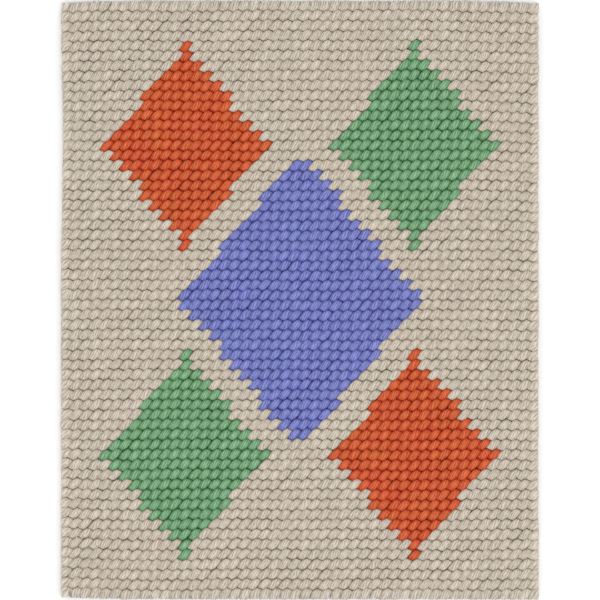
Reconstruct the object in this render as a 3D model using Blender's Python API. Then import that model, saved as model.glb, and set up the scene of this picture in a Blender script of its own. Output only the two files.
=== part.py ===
"""Needlepoint canvas panel, lying face up.

A sheet of stiff open canvas is worked all over with wool tent stitches, 48 across and 60 down, and its bare
margin is folded to the back. The worked sheet is one solid. Its face carries the rows of stitches as low
ribs, its edges are round where wool goes over the fold, and its back is flat.

The origin is on the back at the middle. +X is the picture's right, +Y its top, and +Z points out of its face.
"""
import math

import bpy
import numpy as np

MM = 0.001

# Stitches, four to the centimetre.
PITCH = 2.5 * MM
COLUMNS = 48
ROWS = 60

# The wool round the folded edge stands this far past the last hole, at the sides and at the ends.
SIDE_WRAP = 0.2 * MM
END_WRAP = 0.5 * MM
WIDTH = COLUMNS * PITCH + 2 * SIDE_WRAP
HEIGHT = ROWS * PITCH + 2 * END_WRAP

# The canvas is folded round its own back, and the wool goes over that fold.
EDGE_RADIUS = 2.0 * MM
FOLD_HEIGHT = 1.3 * MM
EDGE_STEPS = 3
CORNER_PULL = 0.85

# Grooves between the rows of stitches.
GROOVE_DEPTH = 0.35 * MM
GROOVE_LIFT = 0.5
GROOVED_ROWS = ROWS - 2
GROOVED_HALF = GROOVED_ROWS * PITCH / 2
STEPS_PER_ROW = 3
STEPS_ACROSS = 8
SMOOTH_BELOW = math.radians(50)

# How far the worked canvas is pulled out of square.
LEFT_DIP = 0.5 * MM
LEFT_DIP_MIDDLE = 41.0 * MM
LEFT_DIP_REACH = 32.0 * MM
TOP_LEFT_FALL = 0.5 * MM
TOP_RIGHT_FALL = 0.75 * MM
BOTTOM_LEFT_RISE = 0.6 * MM
FALL_START = 0.6

WOOL_COLOUR = (0.56, 0.48, 0.39, 1.0)
WOOL_ROUGHNESS = 0.95
NODE = "needlepoint_panel"


def groove(y):
    """One in the groove between two rows of stitches, and nought from a third of a row away.

    It is a cosine over each row, raised by the lift, cut off at nought and brought back to a height of one.
    """
    wave = np.clip((np.cos(2 * math.pi * y / PITCH) + GROOVE_LIFT) / (1 + GROOVE_LIFT), 0, 1)
    inside = np.abs(y) < GROOVED_HALF + PITCH / 4
    return wave * inside


def corner_ease(across):
    """Nought along the middle of an edge, rising as a square to one at its end; across runs from 0 to 1."""
    return np.clip((across - FALL_START) / (1 - FALL_START), 0, 1) ** 2


def pulled_out_of_square(points):
    """Move points as the stitches have pulled the canvas: each edge's own shift, fading to the far edge."""
    x, y, z = points[..., 0], points[..., 1], points[..., 2]
    reach = np.clip(np.abs(y - LEFT_DIP_MIDDLE) / LEFT_DIP_REACH, 0, 1)
    left_in = LEFT_DIP * (0.5 + 0.5 * np.cos(math.pi * reach))
    half_width = WIDTH / 2
    top_down = TOP_LEFT_FALL * corner_ease(-x / half_width) + TOP_RIGHT_FALL * corner_ease(x / half_width)
    bottom_up = BOTTOM_LEFT_RISE * corner_ease(-x / half_width)
    from_right = 0.5 - x / WIDTH
    from_bottom = 0.5 + y / HEIGHT
    moved_x = x + left_in * from_right
    moved_y = y - top_down * from_bottom + bottom_up * (1 - from_bottom)
    return np.stack([moved_x, moved_y, z], axis=-1)


def face_grid():
    """The flat of the face: lines across its width, and three to each row with the groove's depth."""
    half_x = WIDTH / 2 - EDGE_RADIUS
    half_y = HEIGHT / 2 - EDGE_RADIUS
    x_lines = np.linspace(-half_x, half_x, STEPS_ACROSS + 1)
    y_lines = np.linspace(-GROOVED_HALF, GROOVED_HALF, GROOVED_ROWS * STEPS_PER_ROW + 1)
    y_lines = np.concatenate([[-half_y], y_lines, [half_y]])
    x, y = np.meshgrid(x_lines, y_lines)
    z = FOLD_HEIGHT + EDGE_RADIUS - GROOVE_DEPTH * groove(y)
    return np.stack([x, y, z], axis=-1)


def rim_places(down, across):
    """Row and column of each grid point on the rim, anticlockwise seen from above."""
    top = down - 1
    right = across - 1
    rows = np.concatenate([np.zeros(right), np.arange(top), np.full(right, top), np.arange(top, 0, -1)])
    columns = np.concatenate([np.arange(right), np.full(top, right), np.arange(right, 0, -1), np.zeros(top)])
    return rows.astype(int), columns.astype(int)


def edge_loops(grid, rows, columns):
    """Loops round the rim, stepping down the round edge from the face to the flat back.

    Each point goes out from the fold line by the radius times the cosine of an angle, and up from the fold's
    middle by the radius times its sine. The angle runs from upright to where the round meets the back.
    """
    down, across = grid.shape[:2]
    rim = grid[rows, columns]
    out_x = (columns == across - 1) * 1.0 - (columns == 0)
    out_y = (rows == down - 1) * 1.0 - (rows == 0)
    corner = (out_x != 0) & (out_y != 0)
    pull = np.where(corner, CORNER_PULL, 1.0)
    radius = EDGE_RADIUS - GROOVE_DEPTH * groove(rim[:, 1])
    last_sine = -FOLD_HEIGHT / radius
    loops = []
    for step in range(1, EDGE_STEPS + 1):
        angle = math.pi / 2 + (np.arcsin(last_sine) - math.pi / 2) * step / EDGE_STEPS
        out = radius * np.cos(angle) * pull
        height = FOLD_HEIGHT + radius * np.sin(angle)
        if step == EDGE_STEPS:
            height = np.zeros(len(rim))
        loops.append(np.stack([rim[:, 0] + out_x * out, rim[:, 1] + out_y * out, height], axis=-1))
    return loops


def panel_mesh():
    """One closed mesh: the face grid, the strips of the round edge, and the back as one flat face."""
    grid = face_grid()
    down, across = grid.shape[:2]
    rows, columns = rim_places(down, across)
    loops = edge_loops(grid, rows, columns)
    points = pulled_out_of_square(np.concatenate([grid.reshape(-1, 3)] + loops))
    middle = (points.min(axis=0) + points.max(axis=0)) / 2
    points[:, :2] -= middle[:2]

    number = np.arange(down * across).reshape(down, across)
    quads = np.stack([number[:-1, :-1], number[:-1, 1:], number[1:, 1:], number[1:, :-1]], axis=-1)
    faces = quads.reshape(-1, 4).tolist()
    upper = number[rows, columns]
    for step in range(EDGE_STEPS):
        lower = down * across + step * len(rows) + np.arange(len(rows))
        strip = np.stack([upper, lower, np.roll(lower, -1), np.roll(upper, -1)], axis=-1)
        faces += strip.tolist()
        upper = lower
    faces.append(upper[::-1].tolist())

    mesh = bpy.data.meshes.new(NODE)
    mesh.from_pydata(points.tolist(), [], faces)
    mesh.shade_smooth()
    mesh.set_sharp_from_angle(angle=SMOOTH_BELOW)
    return mesh


def wool_material():
    """The plain wool of the ground, matt all over."""
    material = bpy.data.materials.new("wool_ground")
    material.use_nodes = True
    shader = material.node_tree.nodes["Principled BSDF"]
    shader.inputs["Base Color"].default_value = WOOL_COLOUR
    shader.inputs["Roughness"].default_value = WOOL_ROUGHNESS
    shader.inputs["Metallic"].default_value = 0.0
    return material


def build():
    """Clear the scene and make the panel."""
    for old in list(bpy.data.objects):
        bpy.data.objects.remove(old)
    panel = bpy.data.objects.new(NODE, panel_mesh())
    panel.data.materials.append(wool_material())
    bpy.context.scene.collection.objects.link(panel)


build()
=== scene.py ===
# Looks of the needlepoint canvas panel: open cotton canvas, worked all over with wool tent stitches.
import math

import bpy
import numpy as np
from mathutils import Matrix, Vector


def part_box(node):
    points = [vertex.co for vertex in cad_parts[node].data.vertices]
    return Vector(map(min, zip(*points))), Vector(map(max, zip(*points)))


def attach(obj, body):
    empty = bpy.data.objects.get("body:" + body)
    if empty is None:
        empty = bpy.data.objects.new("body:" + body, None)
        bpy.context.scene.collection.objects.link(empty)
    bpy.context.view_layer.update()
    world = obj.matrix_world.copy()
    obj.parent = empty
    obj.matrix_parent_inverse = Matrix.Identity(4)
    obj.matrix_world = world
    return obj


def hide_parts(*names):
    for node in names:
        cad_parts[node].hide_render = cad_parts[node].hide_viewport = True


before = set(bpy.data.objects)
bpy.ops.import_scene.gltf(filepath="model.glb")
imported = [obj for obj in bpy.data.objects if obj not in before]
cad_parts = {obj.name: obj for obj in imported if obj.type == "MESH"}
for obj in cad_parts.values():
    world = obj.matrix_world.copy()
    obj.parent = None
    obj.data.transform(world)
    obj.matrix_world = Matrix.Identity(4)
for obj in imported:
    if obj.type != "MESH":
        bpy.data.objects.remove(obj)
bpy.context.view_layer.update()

MM = 0.001
NODE = "needlepoint_panel"
SEED = 20260

# The worked cloth: square cells, one tent stitch to each.
PITCH = 2.5 * MM
COLUMNS = 48
ROWS = 60
low, high = (np.array(corner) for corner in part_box(NODE))
WIDTH, HEIGHT = (high - low)[:2]

# The folded edge: wool outside, canvas bent round the fold's middle.
EDGE_RADIUS = 2.0 * MM
FOLD_HEIGHT = 1.3 * MM
CANVAS_BEND = 0.75 * MM
FOLD_X = WIDTH / 2 - EDGE_RADIUS
FOLD_Y = HEIGHT / 2 - EDGE_RADIUS
FOLD_LENGTH = math.pi * CANVAS_BEND
TIGHTEST_BEND = 0.1 * MM
MARGIN_THREADS = 5
MARGIN_WIDTH = MARGIN_THREADS * PITCH
PRESSED_FLAT = 0.02 * MM

# How far the worked canvas is pulled out of square, as in the solid.
LEFT_DIP = 0.5 * MM
LEFT_DIP_MIDDLE = 41.0 * MM
LEFT_DIP_REACH = 32.0 * MM
TOP_LEFT_FALL = 0.5 * MM
TOP_RIGHT_FALL = 0.75 * MM
BOTTOM_LEFT_RISE = 0.6 * MM
FALL_START = 0.6

# Harlequin diamonds: the middle's column and row, half the width and height in stitches, and the wool.
DIAMONDS = (
    {"column": 24.0, "row": 30.0, "half_width": 12.0, "half_height": 15.0, "wool": "violet"},
    {"column": 12.5, "row": 45.5, "half_width": 8.0, "half_height": 10.0, "wool": "orange"},
    {"column": 35.5, "row": 45.5, "half_width": 8.0, "half_height": 10.0, "wool": "green"},
    {"column": 12.5, "row": 14.5, "half_width": 8.0, "half_height": 10.0, "wool": "green"},
    {"column": 35.5, "row": 14.5, "half_width": 8.0, "half_height": 10.0, "wool": "orange"},
)
WOOLS = ("ground", "orange", "green", "violet")

rng = np.random.default_rng(SEED)


# Where the cloth lies.

def corner_ease(across):
    """Nought up to the fall's start, then rising as a square to one at the edge's end, where across is 1."""
    return np.clip((across - FALL_START) / (1 - FALL_START), 0, 1) ** 2


def pulled_out_of_square(x, y):
    """Each edge's own shift, as the stitches have pulled the canvas, fading evenly to the far edge.

    The left edge dips in by half of one plus the cosine of pi times the share of its reach, and the corners
    fall or rise by their own ease.
    """
    reach = np.clip(np.abs(y - LEFT_DIP_MIDDLE) / LEFT_DIP_REACH, 0, 1)
    left_in = LEFT_DIP * (0.5 + 0.5 * np.cos(math.pi * reach))
    across = 2 * x / WIDTH
    top_down = TOP_LEFT_FALL * corner_ease(-across) + TOP_RIGHT_FALL * corner_ease(across)
    bottom_up = BOTTOM_LEFT_RISE * corner_ease(-across)
    from_bottom = 0.5 + y / HEIGHT
    return x + left_in * (0.5 - x / WIDTH), y - top_down * from_bottom + bottom_up * (1 - from_bottom)


def round_fold(distance, off, fold):
    """Sideways place and cosine of the turn for cloth at a distance from the middle line.

    Up to the fold line the cloth is flat. Past it the turn is the distance over the bend's radius, and the
    place is the bend's radius plus the height off the canvas, times the turn's sine. After half a turn the
    cloth runs back inwards.
    """
    past = np.abs(distance) - fold
    turn = np.clip(past / CANVAS_BEND, 0, math.pi)
    inward = np.maximum(past - FOLD_LENGTH, 0)
    radius = np.maximum(CANVAS_BEND + off, TIGHTEST_BEND)
    place = np.minimum(np.abs(distance), fold) + radius * np.sin(turn) - inward
    return np.sign(distance) * place, np.cos(turn)


def on_panel(across, up, off):
    """Carry places on the flat cloth, and heights off its canvas, to points of the folded panel.

    The height is the fold's, plus the bend's radius and the height off the canvas, times the lesser of the
    cosines of the two turns, so the folds close round the corners. Nothing goes lower than the surface that
    the panel lies on, because the wool under the fold is pressed flat against it.
    """
    x, turn_x = round_fold(across, off, FOLD_X)
    y, turn_y = round_fold(up, off, FOLD_Y)
    x, y = pulled_out_of_square(x, y)
    z = FOLD_HEIGHT + (CANVAS_BEND + off) * np.minimum(turn_x, turn_y)
    return np.stack([x, y, np.maximum(z, PRESSED_FLAT)], axis=-1)


def facing_up(across, up):
    """How far the cloth faces up at a place, and how far it is turned over the top or bottom fold.

    The first is the lesser cosine of its two turns, and nought past the fold. The second is one less the
    square of the cosine of its turn over the fold at the end of the panel, so it is one at the fold's edge
    and nought on the face and on the back.
    """
    turn_x = round_fold(across, 0.0, FOLD_X)[1]
    turn_y = round_fold(up, 0.0, FOLD_Y)[1]
    return np.clip(np.minimum(turn_x, turn_y), 0, 1), 1 - turn_y ** 2


# Meshes from whole arrays.

def cloth_piece(name, points, yarn, painted_shade_and_glow, faces, material, slot):
    """A piece made of points and of faces, each an array with as many columns as its faces have corners.

    Each point has two values. One is its yarn: how far along its thread it lies, how far across, both in
    millimetres, and a number of the thread's own. The other is painted shade: 0 on top, 1 in a usual hole,
    more in a deeper one, and less than 0 over the folds at the panel's top and bottom ends, where it is
    painted light that lightens the wool.
    """
    mesh = bpy.data.meshes.new(name)
    mesh.vertices.add(len(points))
    mesh.vertices.foreach_set("co", points.astype(np.float32).ravel())
    corners = np.concatenate([group.ravel() for group in faces])
    sizes = np.concatenate([np.full(len(group), group.shape[1]) for group in faces])
    mesh.loops.add(len(corners))
    mesh.loops.foreach_set("vertex_index", corners.astype(np.int32))
    mesh.polygons.add(len(sizes))
    mesh.polygons.foreach_set("loop_start", (np.cumsum(sizes) - sizes).astype(np.int32))
    mesh.update(calc_edges=True)
    mesh.shade_smooth()
    yarn_values = mesh.attributes.new("yarn", "FLOAT_VECTOR", "POINT")
    yarn_values.data.foreach_set("vector", yarn.astype(np.float32).ravel())
    painted_shade_and_glow_values = mesh.attributes.new("painted_shade_and_glow", "FLOAT", "POINT")
    painted_shade_and_glow_values.data.foreach_set("value", painted_shade_and_glow.astype(np.float32))
    mesh.materials.append(material)
    piece = bpy.data.objects.new(name, mesh)
    bpy.context.scene.collection.objects.link(piece)
    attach(piece, "root")
    return piece


def repeated(pattern, count, points_each):
    """Faces of one shape, repeated for each copy with its point numbers moved on."""
    starts = np.arange(count)[:, None, None] * points_each
    return (pattern[None] + starts).reshape(-1, pattern.shape[1])


def bundle_faces(rings, sides, flipped):
    """Quads between the rings of one closed bundle of yarn, and triangles to the point at each end."""
    number = 1 + np.arange(rings * sides).reshape(rings, sides)
    following = np.roll(number, -1, axis=1)
    quads = np.stack([number[:-1], number[1:], following[1:], following[:-1]], axis=-1).reshape(-1, 4)
    first = np.stack([np.zeros(sides, int), number[0], following[0]], axis=-1)
    last = np.stack([np.full(sides, rings * sides + 1), following[-1], number[-1]], axis=-1)
    ends = np.concatenate([first, last])
    return (quads[:, ::-1], ends[:, ::-1]) if flipped else (quads, ends)


# Wool stitches.

# Half widths in cells. A stitch is narrowest at its holes and fullest between them, and it is pressed into
# its neighbours, whose axes lie 0.707 of a cell away.
HALF_WIDTH = 0.367
FULLNESS = 0.03

# How far its section is turned towards the rows: the mean, and what the ends have more and the middle less.
SLANT = math.radians(7)
SLANT_CHANGE = math.radians(14)

# Powers of the sine that shape the section, the tips, the top and the underside.
SECTION_ROUND = 0.7
TIP_WIDTH_POWER = 0.06
FOLDED_TIP_POWER = 1.0
TOP_POWER = 0.2
UNDER_POWER = 0.8

# Painted shade: the deepest hollow that still darkens the wool's colour, in depths of a usual stitch, and how
# much painted light lightens the wool's colour over the folds at the panel's top and bottom ends.
DEEPEST_PAINTED_SHADE = 1.25
PAINTED_END_GLOW = 0.25

# Where the points lie round a section: close on the side that is seen, and few on the other.
ANGLES_OVER = np.radians([0, 30, 60, 90, 120, 150, 180, 270])
ANGLES_UNDER = np.radians([0, 60, 120, 180, 240, 300])

# In millimetres, as the yarn's own pattern is: how wide half the yarn's surface is when laid flat, and how
# far apart the patterns of two strands lie at most.
SURFACE_WIDTH = 2.6
STRAND_STEP = 40.0


def softened(wave):
    """A sine or cosine to a power under one, with its sign kept, so the section is fuller than round."""
    return np.sign(wave) * np.abs(wave) ** SECTION_ROUND


def bundles(start, finish, rings, angles, shape, side):
    """Closed plump bundles of yarn between pairs of holes, as points, yarn values and faces.

    With the turn t running from 0 to pi along a stitch of length L, the place along it is L/2 less
    (L/2 - gap) times cos t, so its rings crowd together at the ends. A gap under nought takes the tips past
    the holes. The half width is a mean less the fullness times the cosine of the whole turn along L, times a
    power of sin t of each end's own. A low power makes a blunt end, and a higher one a round end, as where
    the yarn goes over the fold. The top rises from the end's height to the crown, and the underside to the
    bed, as their powers of sin t. The section is a fuller ellipse between them. It is turned towards the rows
    by the slant plus its change times the same cosine, so the ends lie nearer to the rows than the middle
    does. Last, the bundle is drawn about its middle, by one share across the cloth and another up it.

    A point's painted shade is its depth under the crown over a usual stitch's depth, up to the deepest,
    times how far it faces up. A painted glow is taken off it over the folds at the panel's top and bottom
    ends, so the wool there is painted lighter.
    """
    count = len(start)
    turn = math.pi * (np.arange(rings) + 0.5) / rings
    rise = np.sin(turn)
    along_vector = finish - start
    length = np.linalg.norm(along_vector, axis=1)[:, None]
    ahead = along_vector / length
    aside = np.stack([ahead[:, 1], -ahead[:, 0]], axis=1)
    along = length / 2 - (length / 2 - shape["gap"][:, None]) * np.cos(turn)
    wave = np.cos(2 * math.pi * along / length)
    first_power, last_power = (powers[:, None] for powers in shape["tip_powers"])
    tip_power = np.where(turn < math.pi / 2, first_power, last_power)
    half = (shape["half_width"] - shape["fullness"] * wave) * rise ** tip_power * shape["width"][:, None]
    slant = (SLANT + SLANT_CHANGE * wave)[..., None]
    end = shape["end"][:, None]
    top = end + (shape["crown"][:, None] - end) * rise ** TOP_POWER
    under = end + (shape["bed"] - end) * rise ** UNDER_POWER
    sideways = half[..., None] * softened(np.cos(angles))
    lateral = sideways * np.cos(slant) + (shape["bow"][:, None] * rise ** 2)[..., None]
    off = ((top + under) / 2)[..., None] + ((top - under) / 2)[..., None] * softened(np.sin(angles))
    along_all = along[..., None] + sideways * np.sin(slant)

    def cloth(axis):
        """Places across or up the cloth: the start, plus the ways ahead and aside, drawn about the middle."""
        rings_part = (start[:, axis, None, None] + ahead[:, axis, None, None] * along_all
                      + aside[:, axis, None, None] * lateral).reshape(count, -1)
        first = start[:, axis] + ahead[:, axis] * shape["gap"]
        last = finish[:, axis] - ahead[:, axis] * shape["gap"]
        places = np.concatenate([first[:, None], rings_part, last[:, None]], axis=1)
        middle = (start[:, axis, None] + finish[:, axis, None]) / 2
        return middle + (places - middle) * shape["drawn"][axis]

    heights = np.concatenate([end, off.reshape(count, -1), end], axis=1)
    across_cloth, up_cloth = cloth(0), cloth(1)
    points = on_panel(across_cloth, up_cloth, heights * side).reshape(-1, 3)
    below_crown = (shape["crown"][:, None] - heights) / shape["depth"]
    facing, over_end = facing_up(across_cloth, up_cloth)
    # Painted shade in the hollows between stitches, less a painted glow over the top and bottom folds.
    painted_shade_and_glow = (np.clip(below_crown, 0, DEEPEST_PAINTED_SHADE) * facing - PAINTED_END_GLOW * over_end).ravel()

    around = SURFACE_WIDTH * (1 - np.abs(angles / math.pi - 1))
    strand = rng.random((count, 1))
    centre = np.full((count, 1), SURFACE_WIDTH / 2)
    along_mm = np.concatenate([shape["gap"][:, None], along_all.reshape(count, -1), length], axis=1) / MM
    around_all = np.broadcast_to(around, lateral.shape).reshape(count, -1)
    across_mm = np.concatenate([centre, around_all, centre], axis=1)
    strands = np.broadcast_to(strand, along_mm.shape)
    yarn = np.stack([along_mm + strands * STRAND_STEP, across_mm, strands], axis=-1).reshape(-1, 3)

    each = rings * len(angles) + 2
    quads, triangles = bundle_faces(rings, len(angles), side < 0)
    return points, yarn, painted_shade_and_glow, (repeated(quads, count, each), repeated(triangles, count, each))


# How far the rows and columns wander, in waves of two lengths that lean a little, and each hole by itself.
# The lengths are not multiples of one another, so the pattern never repeats.
ROW_WAVE = 0.10 * MM
ROW_WAVE_LENGTHS = (83 * MM, 37 * MM)
ROW_WAVE_LEAN = 1 / 2
COLUMN_WAVE_LEAN = 1 / 3
HOLE_SHIFT = 0.062 * MM


def hole_places():
    """Every hole of the canvas, (COLUMNS + 1) by (ROWS + 1), as worked.

    The even place, plus two slow waves along and between the rows, plus a small shift of each hole's own.
    """
    across = (np.arange(COLUMNS + 1) - COLUMNS / 2) * PITCH
    up = (np.arange(ROWS + 1) - ROWS / 2) * PITCH
    across, up = np.meshgrid(across, up, indexing="ij")
    wave_up = np.zeros_like(up)
    wave_across = np.zeros_like(up)
    for wave_length in ROW_WAVE_LENGTHS:
        phase = rng.uniform(0, 2 * math.pi, 2)
        wave_up += np.sin(2 * math.pi * (across + up * ROW_WAVE_LEAN) / wave_length + phase[0])
        wave_across += np.sin(2 * math.pi * (up - across * COLUMN_WAVE_LEAN) / wave_length + phase[1])
    places = np.stack([across + ROW_WAVE * wave_across, up + ROW_WAVE * wave_up], axis=-1)
    return places + rng.normal(0, HOLE_SHIFT, places.shape)


def chart():
    """The wool of each stitch, as an index into WOOLS.

    A stitch takes a diamond's wool where its share of the half width plus its share of the half height comes
    to one or less, and the ground's elsewhere.
    """
    column, row = np.meshgrid(np.arange(COLUMNS) + 0.5, np.arange(ROWS) + 0.5, indexing="ij")
    wool = np.zeros(column.shape, int)
    for diamond in DIAMONDS:
        share = (np.abs(column - diamond["column"]) / diamond["half_width"]
                 + np.abs(row - diamond["row"]) / diamond["half_height"])
        wool[share <= 1] = WOOLS.index(diamond["wool"])
    return wool


def on_edge(columns, rows):
    """Which of these cells lie along the panel's edges."""
    return (columns == 0) | (columns == COLUMNS - 1) | (rows == 0) | (rows == ROWS - 1)


def varied(share, count):
    """A share for each of so many strands, drawn about its mean and kept between its least and its most."""
    return rng.normal(share["mean"], share["spread"], count).clip(share["least"], share["most"])


# Heights off the canvas of a stitch's ends, its underside and its top, and how much the ends' heights differ.
STITCH_END = 0.29 * MM
END_SPREAD = 0.12 * MM
STITCH_BED = 0.4 * MM
STITCH_CROWN = 1.22 * MM

# How far a stitch's tips stop short of its holes, or reach past them, and how far its middle bows aside.
STITCH_GAPS = (-0.05 * MM, 0.04 * MM)
STITCH_BOW = 0.03 * MM

# Shares of the half width and of the crown that stitches have, as hand tension varies.
STITCH_WIDTH = {"mean": 1.095, "spread": 0.028, "least": 1.06, "most": 1.2}
STITCH_PLUMPNESS = {"mean": 1.0, "spread": 0.05, "least": 0.88, "most": 1.1}

# How much stitches are drawn in, across the cloth and up it, and how much wider those round a fold are.
GROUND_DRAWN = (1.0, 0.98)
COLOUR_DRAWN = (0.975, 1.0)
EDGE_WIDENING = 1.04


def tent_stitches(holes, columns, rows, rings, drawn):
    """The stitches of these cells on the face, each from its lower left hole to its upper right one."""
    count = len(columns)
    widening = np.where(on_edge(columns, rows), EDGE_WIDENING, 1.0)
    tip_powers = [np.where(rows == folded, FOLDED_TIP_POWER, TIP_WIDTH_POWER) for folded in (0, ROWS - 1)]
    shape = {
        "gap": rng.uniform(*STITCH_GAPS, count),
        "width": varied(STITCH_WIDTH, count) * widening,
        "crown": varied(STITCH_PLUMPNESS, count) * STITCH_CROWN,
        "bow": rng.normal(0, STITCH_BOW, count),
        "half_width": HALF_WIDTH * PITCH,
        "fullness": FULLNESS * PITCH,
        "end": STITCH_END + rng.uniform(-END_SPREAD, END_SPREAD, count),
        "depth": STITCH_CROWN - STITCH_END,
        "bed": STITCH_BED,
        "drawn": drawn,
        "tip_powers": tip_powers,
    }
    return bundles(holes[columns, rows], holes[columns + 1, rows + 1], rings, ANGLES_OVER, shape, 1)


# The same for the floats behind. Their heights are taken downwards, and their ends come up into the holes.
FLOAT_END = -0.55 * MM
FLOAT_BED = 0.3 * MM
FLOAT_CROWN = 1.45 * MM
FLOAT_CROWN_UNDER_MARGIN = 0.92 * MM
FLOAT_HALF_WIDTH = 0.62 * MM
FLOAT_FULLNESS = 0.08 * MM
FLOAT_GAPS = (0.1 * MM, 0.3 * MM)
FLOAT_BOW = 0.08 * MM
FLOAT_WIDTH = {"mean": 1.0, "spread": 0.07, "least": 0.82, "most": 1.2}
FLOAT_PLUMPNESS = {"mean": 1.0, "spread": 0.04, "least": 0.88, "most": 1.0}


def back_floats(holes, columns, rows, rings):
    """The yarn's way behind the cloth, from a stitch's upper right hole to the next stitch's lower left one.

    It spans two columns and one row, and is pressed flatter where the turned margin lies over it.
    """
    start = holes[columns + 1, rows + 1]
    finish = holes[columns - 1, rows]
    middle = np.abs((start + finish) / 2)
    under_margin = np.maximum(middle[:, 0] - FOLD_X, middle[:, 1] - FOLD_Y) > -MARGIN_WIDTH - PITCH
    crown = np.where(under_margin, FLOAT_CROWN_UNDER_MARGIN, FLOAT_CROWN)
    count = len(columns)
    shape = {
        "gap": rng.uniform(*FLOAT_GAPS, count),
        "width": varied(FLOAT_WIDTH, count),
        "crown": crown * varied(FLOAT_PLUMPNESS, count),
        "bow": rng.normal(0, FLOAT_BOW, count),
        "half_width": FLOAT_HALF_WIDTH,
        "fullness": FLOAT_FULLNESS,
        "end": np.full(count, FLOAT_END),
        "depth": FLOAT_CROWN - FLOAT_END,
        "bed": FLOAT_BED,
        "drawn": (1.0, 1.0),
        "tip_powers": [np.full(count, TIP_WIDTH_POWER)] * 2,
    }
    return bundles(start, finish, rings, ANGLES_UNDER, shape, -1)


# Canvas.

# A thread's section, how far it goes over and under, and how finely it is made.
THREAD_HALF_WIDTH = 0.42 * MM
THREAD_HALF_HEIGHT = 0.22 * MM
WEAVE_LIFT = 0.2 * MM
THREAD_SIDES = 6
FOLD_STEPS = 6
MARGIN_STEPS = 14
STEPS_PER_MARGIN_CELL = 3
SHORTEST_MARGIN = 0.3 * MM


def thread_lines(threads, cells, fold, cross_fold):
    """Distances along each thread, one row for each, for threads lying at these places across the cloth.

    A thread of the worked cloth has a step at every crossing, closer steps round both folds, and even steps
    in the turned margins, which a mitre cuts short near the corners. threads holds its place across, and fold
    and cross_fold are the fold lines that it crosses and runs beside.
    """
    inner = (np.arange(cells - 2) - (cells - 3) / 2) * PITCH
    fold_end = fold + FOLD_LENGTH
    cut_end = (cells / 2 + MARGIN_THREADS) * PITCH
    mitre = np.clip(cross_fold - np.abs(threads), SHORTEST_MARGIN, cut_end - fold_end)
    round_part = inner[-1] + (fold_end - inner[-1]) * np.arange(1, FOLD_STEPS + 1) / FOLD_STEPS
    margin_part = fold_end + mitre[:, None] * np.arange(1, MARGIN_STEPS + 1) / MARGIN_STEPS
    outer = np.concatenate([np.broadcast_to(round_part, (len(threads), FOLD_STEPS)), margin_part], axis=1)
    worked = np.broadcast_to(inner, (len(threads), len(inner)))
    return np.concatenate([-outer[:, ::-1], worked, outer], axis=1)


def margin_lines(threads, cells, fold, cross_fold):
    """The same for threads that lie in the turned margins, which run between the mitres of two corners."""
    inward = np.abs(threads) - cross_fold - FOLD_LENGTH
    even = np.linspace(-1, 1, cells * STEPS_PER_MARGIN_CELL + 1)
    return (fold - inward)[:, None] * even


def thread_tubes(threads, lines, first_over, along_up):
    """Flattened tubes along these lines, going over and under the crossing threads.

    The height is the weave's lift times the sine of pi times the distance over the pitch, which is up at one
    crossing and down at the next, and neighbours start the other way up. along_up says that the threads run
    up the cloth and not across it.
    """
    count, steps = lines.shape
    angles = np.arange(THREAD_SIDES) * 2 * math.pi / THREAD_SIDES
    index = np.round(threads / PITCH - 0.5).astype(int)
    sign = np.where(index % 2 == 0, first_over, -first_over)
    lift = WEAVE_LIFT * sign[:, None] * np.sin(math.pi * lines / PITCH)
    shape = (count, steps, THREAD_SIDES)
    across = np.broadcast_to(threads[:, None, None] + THREAD_HALF_WIDTH * np.cos(angles), shape)
    along = np.broadcast_to(lines[..., None], shape)
    off = lift[..., None] + THREAD_HALF_HEIGHT * np.sin(angles)
    points = on_panel(across, along, off) if along_up else on_panel(along, across, off)

    number = np.arange(steps * THREAD_SIDES).reshape(steps, THREAD_SIDES)
    following = np.roll(number, -1, axis=1)
    quads = np.stack([number[:-1], following[:-1], following[1:], number[1:]], axis=-1).reshape(-1, 4)
    caps = np.stack([number[0, ::-1], number[-1]])
    if along_up:
        quads, caps = quads[:, ::-1], caps[:, ::-1]
    strand = rng.random((count, 1, 1))
    yarn = np.stack([along / MM, np.broadcast_to(angles, shape), np.broadcast_to(strand, shape)], axis=-1)
    each = steps * THREAD_SIDES
    painted_shade_and_glow = np.zeros(count * each)
    faces = (repeated(quads, count, each), repeated(caps, count, each))
    return points.reshape(-1, 3), yarn.reshape(-1, 3), painted_shade_and_glow, faces


def thread_places(cells):
    """Where threads lie across a direction, midway between holes: the worked cloth's, then the margins'."""
    every = (np.arange(-MARGIN_THREADS, cells + MARGIN_THREADS) - cells / 2 + 0.5) * PITCH
    worked = np.abs(every) < cells / 2 * PITCH
    return every[worked], every[~worked]


def joined(parts):
    """Several sets of points, their values and faces as one, with the point numbers moved on."""
    points, yarn, painted_shade_and_glow, faces = zip(*parts)
    starts = np.cumsum([0] + [len(group) for group in points[:-1]])
    moved = [group + start for groups, start in zip(faces, starts) for group in groups]
    return np.concatenate(points), np.concatenate(yarn), np.concatenate(painted_shade_and_glow), moved


def canvas_parts():
    """All the threads of the canvas: up the cloth and across it, in the worked part and in the margins."""
    parts = []
    for along_up, cells, cross_cells, fold, cross_fold in (
            (True, ROWS, COLUMNS, FOLD_Y, FOLD_X), (False, COLUMNS, ROWS, FOLD_X, FOLD_Y)):
        worked, margin = thread_places(cross_cells)
        first_over = 1 if along_up else -1
        for threads, lines_of in ((worked, thread_lines), (margin, margin_lines)):
            lines = lines_of(threads, cells, fold, cross_fold)
            parts.append(thread_tubes(threads, lines, first_over, along_up))
    return joined(parts)


# Materials.

# The middle of a noise's values, where nearly all of them lie, and how finely two kinds of noise are broken
# up. Where a noise follows the yarn its own scale is 1, because its place is scaled already.
NOISE_LOW = 0.3
NOISE_HIGH = 0.7
SLOW_DETAIL = 1.0
FINE_DETAIL = 3.0


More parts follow.
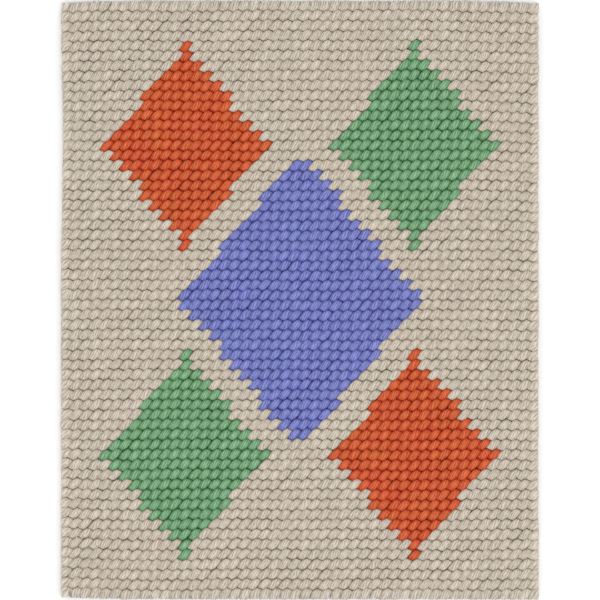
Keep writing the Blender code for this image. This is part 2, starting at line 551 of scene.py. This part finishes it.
def linear(hex_colour):
    """An sRGB hex colour as linear RGBA.

    A part up to 0.04045 is divided by 12.92, and any other has 0.055 added, is divided by 1.055 and is taken
    to the power 2.4.
    """
    parts = np.array([int(hex_colour[i:i + 2], 16) / 255 for i in (1, 3, 5)])
    made = np.where(parts <= 0.04045, parts / 12.92, ((parts + 0.055) / 1.055) ** 2.4)
    return (*made.tolist(), 1.0)


def node(tree, kind, inputs=None, **settings):
    """Add a node with its settings, and with its inputs set to values or linked from other nodes' sockets."""
    made = tree.nodes.new(kind)
    for name, value in settings.items():
        setattr(made, name, value)
    for name, value in (inputs or {}).items():
        if isinstance(value, bpy.types.NodeSocket):
            tree.links.new(value, made.inputs[name])
        else:
            made.inputs[name].default_value = value
    return made


def new_material(name):
    """A material with an empty tree, and that tree."""
    material = bpy.data.materials.new(name)
    material.use_nodes = True
    material.node_tree.nodes.clear()
    return material, material.node_tree


# Plies of carded wool, twisted loosely. The yarn's values are in millimetres, so a ply is 0.45 mm wide, and
# leans a quarter off the yarn's axis. It wanders by up to 1.7 of its widths, and the wander and the fibres
# have so many cells to the millimetre. Wool fibres are 0.03 mm, which is too fine to show, so they are drawn
# as coarse as 0.2 mm. The grooves between plies are broken where fibres cross them.
PLY_WIDTH = 0.45
PLY_LEAN = 0.25
PLY_DEPTH = 0.14 * MM
PLY_STRENGTH = 0.9
PLY_WANDER = 1.7
PLY_WANDER_ALONG = 0.5
PLY_WANDER_ACROSS = 0.9
FIBRE_ALONG = 0.9
FIBRE_ACROSS = 5.0
FIBRE_DEPTH = 0.07 * MM
FIBRE_STRENGTH = 0.8
GROOVE_WIDTH = 0.7
GROOVE_BREAKS = 1.4

# How much lighter or darker fibres and strands are, and the patches of an uneven dye bath, 160 to the metre.
FIBRE_STREAK = 0.15
STRAND_TONES = (0.96, 1.04)
BATH_SCALE = 160.0
HUE_KEPT = 0.5

# Wool scatters nearly all of the light that meets it, and its loose fibres catch what grazes it.
WOOL_ROUGHNESS = 0.92
WOOL_SPECULAR = 0.04
BLOOM_ROUGHNESS = 0.5


def wool(name, dye):
    """Tapestry wool: carded sheep's wool, spun woollen, plied and dyed in the hank.

    To the eye it is matt and soft, with a faint bloom at grazing angles. The plies show as fine lines along
    each stitch, and hanks and strands differ a little in depth. The colour is its dye to a power that grows
    between the plies and in the hollows, which is painted shade, and that falls over the folds at the panel's
    top and bottom ends, which is painted light.
    """
    material, tree = new_material(name)
    yarn = node(tree, "ShaderNodeAttribute", attribute_name="yarn")
    depth = node(tree, "ShaderNodeAttribute", attribute_name="painted_shade_and_glow")
    parts = node(tree, "ShaderNodeSeparateXYZ", {0: yarn.outputs["Vector"]})
    along, across, strand = parts.outputs
    lean = node(tree, "ShaderNodeMath", {0: along, 1: -PLY_LEAN, 2: across}, operation="MULTIPLY_ADD")
    slow_along = node(tree, "ShaderNodeMath", {0: along, 1: PLY_WANDER_ALONG}, operation="MULTIPLY")
    slow_across = node(tree, "ShaderNodeMath", {0: across, 1: PLY_WANDER_ACROSS}, operation="MULTIPLY")
    slow_place = node(tree, "ShaderNodeCombineXYZ", {0: slow_along.outputs[0], 1: slow_across.outputs[0]})
    slow = node(tree, "ShaderNodeTexNoise", {
        "Vector": slow_place.outputs[0], "Scale": 1.0, "Detail": SLOW_DETAIL})
    wander = node(tree, "ShaderNodeMath", {0: slow.outputs["Fac"], 1: PLY_WANDER * math.pi, 2: strand},
                  operation="MULTIPLY_ADD")
    phase = node(tree, "ShaderNodeMath", {0: lean.outputs[0], 1: math.pi / PLY_WIDTH, 2: wander.outputs[0]},
                 operation="MULTIPLY_ADD")
    wave = node(tree, "ShaderNodeMath", {0: phase.outputs[0]}, operation="SINE")
    ply = node(tree, "ShaderNodeMath", {0: wave.outputs[0]}, operation="ABSOLUTE")
    long_way = node(tree, "ShaderNodeMath", {0: along, 1: FIBRE_ALONG}, operation="MULTIPLY")
    cross_way = node(tree, "ShaderNodeMath", {0: lean.outputs[0], 1: FIBRE_ACROSS}, operation="MULTIPLY")
    fibre_place = node(tree, "ShaderNodeCombineXYZ", {
        0: long_way.outputs[0], 1: cross_way.outputs[0], 2: strand})
    fibre = node(tree, "ShaderNodeTexNoise", {
        "Vector": fibre_place.outputs[0], "Scale": 1.0, "Detail": FINE_DETAIL})

    # Painted shade: the grooves between plies are darkened by raising the dye to a higher power there.
    broken = node(tree, "ShaderNodeMath", {0: fibre.outputs["Fac"], 1: GROOVE_BREAKS, 2: ply.outputs[0]},
                  operation="MULTIPLY_ADD")
    groove = node(tree, "ShaderNodeMapRange", {
        "Value": broken.outputs[0], "From Min": GROOVE_BREAKS / 2,
        "From Max": GROOVE_WIDTH + GROOVE_BREAKS / 2, "To Min": 1 + dye["groove"], "To Max": 1.0})
    # Painted shade and light: the dye's power grows with the point's depth in a hollow and falls over the end
    # folds.
    power = node(tree, "ShaderNodeMath", {0: depth.outputs["Fac"], 1: dye["painted_shade_strength"], 2: groove.outputs[0]},
                 operation="MULTIPLY_ADD")
    colour = node(tree, "ShaderNodeGamma", {"Color": linear(dye["colour"]), "Gamma": power.outputs[0]})
    streak = node(tree, "ShaderNodeMapRange", {
        "Value": fibre.outputs["Fac"], "From Min": NOISE_LOW, "From Max": NOISE_HIGH,
        "To Min": -FIBRE_STREAK, "To Max": FIBRE_STREAK})
    tone = node(tree, "ShaderNodeMapRange", {
        "Value": strand, "To Min": STRAND_TONES[0], "To Max": STRAND_TONES[1]})
    value = node(tree, "ShaderNodeMath", {0: tone.outputs[0], 1: streak.outputs[0]}, operation="ADD")
    place = node(tree, "ShaderNodeTexCoord")
    bath = node(tree, "ShaderNodeTexNoise", {"Vector": place.outputs["Object"], "Scale": BATH_SCALE})
    hue = node(tree, "ShaderNodeMapRange", {
        "Value": bath.outputs["Fac"], "From Min": NOISE_LOW, "From Max": NOISE_HIGH,
        "To Min": HUE_KEPT - dye["drift"], "To Max": HUE_KEPT + dye["drift"]})
    toned = node(tree, "ShaderNodeHueSaturation", {
        "Hue": hue.outputs[0], "Value": value.outputs[0], "Color": colour.outputs[0]})
    plied = node(tree, "ShaderNodeBump", {
        "Height": ply.outputs[0], "Distance": PLY_DEPTH, "Strength": PLY_STRENGTH})
    bump = node(tree, "ShaderNodeBump", {
        "Height": fibre.outputs["Fac"], "Distance": FIBRE_DEPTH, "Strength": FIBRE_STRENGTH,
        "Normal": plied.outputs[0]})
    shader = node(tree, "ShaderNodeBsdfPrincipled", {
        "Base Color": toned.outputs[0], "Roughness": WOOL_ROUGHNESS, "Specular IOR Level": WOOL_SPECULAR,
        "Sheen Weight": dye["bloom"], "Sheen Roughness": BLOOM_ROUGHNESS, "Normal": bump.outputs[0]})
    node(tree, "ShaderNodeOutputMaterial", {"Surface": shader.outputs[0]})
    return material


# A turn of the thread's twist is 0.9 mm along it, and its mottling has 900 patches to the metre.
THREAD_TWIST = 0.9
THREAD_TWIST_DEPTH = 0.06 * MM
THREAD_TWIST_STRENGTH = 0.7
THREAD_TONES = (0.96, 1.03)
MOTTLE_SCALE = 900.0
CANVAS_PALE = "#D9CBAE"
CANVAS_DARK = "#C4B18F"
CANVAS_ROUGHNESS = 0.6
CANVAS_SPECULAR = 0.4


def canvas_cotton():
    """Canvas thread: hard twisted unbleached cotton, stiffened with starch size after weaving.

    To the eye it is a pale straw brown with a slight shine, and fine slanting lines of twist on each thread.
    """
    material, tree = new_material("sized_cotton_canvas")
    yarn = node(tree, "ShaderNodeAttribute", attribute_name="yarn")
    parts = node(tree, "ShaderNodeSeparateXYZ", {0: yarn.outputs["Vector"]})
    along, around, strand = parts.outputs
    spiral = node(tree, "ShaderNodeMath", {0: along, 1: 2 * math.pi / THREAD_TWIST, 2: around},
                  operation="MULTIPLY_ADD")
    twist = node(tree, "ShaderNodeMath", {0: spiral.outputs[0]}, operation="SINE")
    place = node(tree, "ShaderNodeTexCoord")
    mottle = node(tree, "ShaderNodeTexNoise", {
        "Vector": place.outputs["Object"], "Scale": MOTTLE_SCALE, "Detail": FINE_DETAIL})
    colour = node(tree, "ShaderNodeMix", {
        "Factor": mottle.outputs["Fac"], "A": linear(CANVAS_PALE), "B": linear(CANVAS_DARK)},
        data_type="RGBA")
    tone = node(tree, "ShaderNodeMapRange", {
        "Value": strand, "To Min": THREAD_TONES[0], "To Max": THREAD_TONES[1]})
    toned = node(tree, "ShaderNodeHueSaturation", {
        "Color": colour.outputs["Result"], "Value": tone.outputs[0]})
    bump = node(tree, "ShaderNodeBump", {
        "Height": twist.outputs[0], "Distance": THREAD_TWIST_DEPTH, "Strength": THREAD_TWIST_STRENGTH})
    shader = node(tree, "ShaderNodeBsdfPrincipled", {
        "Base Color": toned.outputs[0], "Roughness": CANVAS_ROUGHNESS, "Specular IOR Level": CANVAS_SPECULAR,
        "Normal": bump.outputs[0]})
    node(tree, "ShaderNodeOutputMaterial", {"Surface": shader.outputs[0]})
    return material


# Clouds in the paint, 6 to the metre.
BOARD_WHITE = "#FAFAFA"
BOARD_SHADE = "#F6F6F5"
BOARD_CLOUD_SCALE = 6.0
BOARD_ROUGHNESS = 0.9


def painted_board():
    """Photographer's white board: matt paint, even but for a very faint cloudiness."""
    material, tree = new_material("white_board")
    place = node(tree, "ShaderNodeTexCoord")
    cloud = node(tree, "ShaderNodeTexNoise", {"Vector": place.outputs["Object"], "Scale": BOARD_CLOUD_SCALE})
    colour = node(tree, "ShaderNodeMix", {
        "Factor": cloud.outputs["Fac"], "A": linear(BOARD_WHITE), "B": linear(BOARD_SHADE)},
        data_type="RGBA")
    shader = node(tree, "ShaderNodeBsdfPrincipled", {
        "Base Color": colour.outputs["Result"], "Roughness": BOARD_ROUGHNESS})
    node(tree, "ShaderNodeOutputMaterial", {"Surface": shader.outputs[0]})
    return material


# Pieces.

# Sections along each stitch on the face, along each one round a fold, and along each float.
STITCH_RINGS = 6
EDGE_RINGS = 8
FLOAT_RINGS = 5

# The colour of each wool on top, how strongly painted shade darkens it in a hollow and painted light lightens
# it over the top and bottom folds, how far its hue drifts, its bloom of loose fibres, which is strongest on
# the pale ground, and how much painted shade darkens it in the grooves between its plies.
DYES = {
    "ground": {"colour": "#D1C7B8", "painted_shade_strength": 1.3, "drift": 0.008, "bloom": 0.2, "groove": 0.85},
    "orange": {"colour": "#D4724D", "painted_shade_strength": 2.4, "drift": 0.003, "bloom": 0.03, "groove": 0.5},
    "green": {"colour": "#8DB48F", "painted_shade_strength": 2.6, "drift": 0.004, "bloom": 0.03, "groove": 0.6},
    "violet": {"colour": "#8B90C8", "painted_shade_strength": 1.7, "drift": 0.003, "bloom": 0.05, "groove": 0.6},
}


def add_pieces():
    """The canvas, and for each wool its stitches on the face and its floats behind."""
    canvas = cloth_piece("canvas", *canvas_parts(), canvas_cotton(), "canvas")
    holes = hole_places()
    cells = np.meshgrid(np.arange(COLUMNS), np.arange(ROWS), indexing="ij")
    columns, rows = (grid.ravel() for grid in cells)
    wools = chart()[columns, rows]
    edge = on_edge(columns, rows)
    ground = wools == WOOLS.index("ground")
    groups = {"ground_edge_stitches": ("ground", ground & edge, EDGE_RINGS),
              "ground_stitches": ("ground", ground & ~edge, STITCH_RINGS)}
    for name in WOOLS[1:]:
        groups[name + "_stitches"] = (name, wools == WOOLS.index(name), STITCH_RINGS)
    materials = {name: wool("tapestry_wool_" + name, DYES[name]) for name in WOOLS}
    stitches = []
    for name, (wool_name, chosen, rings) in groups.items():
        drawn = GROUND_DRAWN if wool_name == "ground" else COLOUR_DRAWN
        made = tent_stitches(holes, columns[chosen], rows[chosen], rings, drawn)
        stitches.append(cloth_piece(name, *made, materials[wool_name], "wool_" + wool_name))
    for index, wool_name in enumerate(WOOLS):
        chosen = (wools == index) & (columns > 0)
        made = back_floats(holes, columns[chosen], rows[chosen], FLOAT_RINGS)
        stitches.append(cloth_piece(wool_name + "_floats", *made, materials[wool_name], "wool_" + wool_name))
    return canvas, stitches


# Floor, light and camera.

# The photograph's side, and where the panel's left and right edges lie in it, in pixels.
PHOTO_SIDE = 600
PANEL_LEFT_PX = 60.5
PANEL_RIGHT_PX = 539.0

# A long lens, so that the folds at the edges are seen from above.
LENS = 100.0
SENSOR = 36.0
NEAREST_SEEN = 0.01

# The studio, in metres and watts. The light is nearly as wide as it is high, so its shadows are soft.
BOARD_HALF_SIDE = 1.5
SOFTBOX_PLACE = (0.15, -0.24, 0.85)
SOFTBOX_SIZE = 0.7
SOFTBOX_POWER = 1.9
SURROUND = "#FBFCFF"
SURROUND_STRENGTH = 1.0


def add_camera():
    """Straight above the face, at the distance where the panel takes the photograph's share of the frame."""
    camera = bpy.data.objects.new("camera", bpy.data.cameras.new("camera"))
    camera.data.lens = LENS
    camera.data.sensor_width = SENSOR
    bpy.context.scene.collection.objects.link(camera)
    metres_per_pixel = WIDTH / (PANEL_RIGHT_PX - PANEL_LEFT_PX)
    seen = PHOTO_SIDE * metres_per_pixel
    aim_x = (PHOTO_SIDE - PANEL_LEFT_PX - PANEL_RIGHT_PX) / 2 * metres_per_pixel
    camera.location = (aim_x, 0, FOLD_HEIGHT + seen * LENS / SENSOR)
    camera.data.clip_start = NEAREST_SEEN
    bpy.context.scene.camera = camera


def add_softbox():
    """A square soft light above the panel, a little to its right and towards its bottom, facing it."""
    light = bpy.data.objects.new("softbox", bpy.data.lights.new("softbox", "AREA"))
    light.data.size = SOFTBOX_SIZE
    light.data.energy = SOFTBOX_POWER
    light.location = SOFTBOX_PLACE
    light.rotation_euler = (-Vector(SOFTBOX_PLACE)).to_track_quat("-Z", "Y").to_euler()
    bpy.context.scene.collection.objects.link(light)


def add_studio():
    """White board under the panel, the soft light, and an even white surround."""
    side = BOARD_HALF_SIDE
    corners = [(-side, -side, 0), (side, -side, 0), (side, side, 0), (-side, side, 0)]
    mesh = bpy.data.meshes.new("board")
    mesh.from_pydata(corners, [], [(0, 1, 2, 3)])
    mesh.materials.append(painted_board())
    board = bpy.data.objects.new("board", mesh)
    bpy.context.scene.collection.objects.link(board)
    add_softbox()
    world = bpy.data.worlds.new("surround")
    world.use_nodes = True
    background = world.node_tree.nodes["Background"]
    background.inputs["Color"].default_value = linear(SURROUND)
    background.inputs["Strength"].default_value = SURROUND_STRENGTH
    bpy.context.scene.world = world
    bpy.context.scene.view_settings.view_transform = "Standard"


canvas, stitches = add_pieces()
for piece in [canvas] + stitches:
    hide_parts(NODE)

add_studio()
add_camera()
bpy.context.view_layer.update()
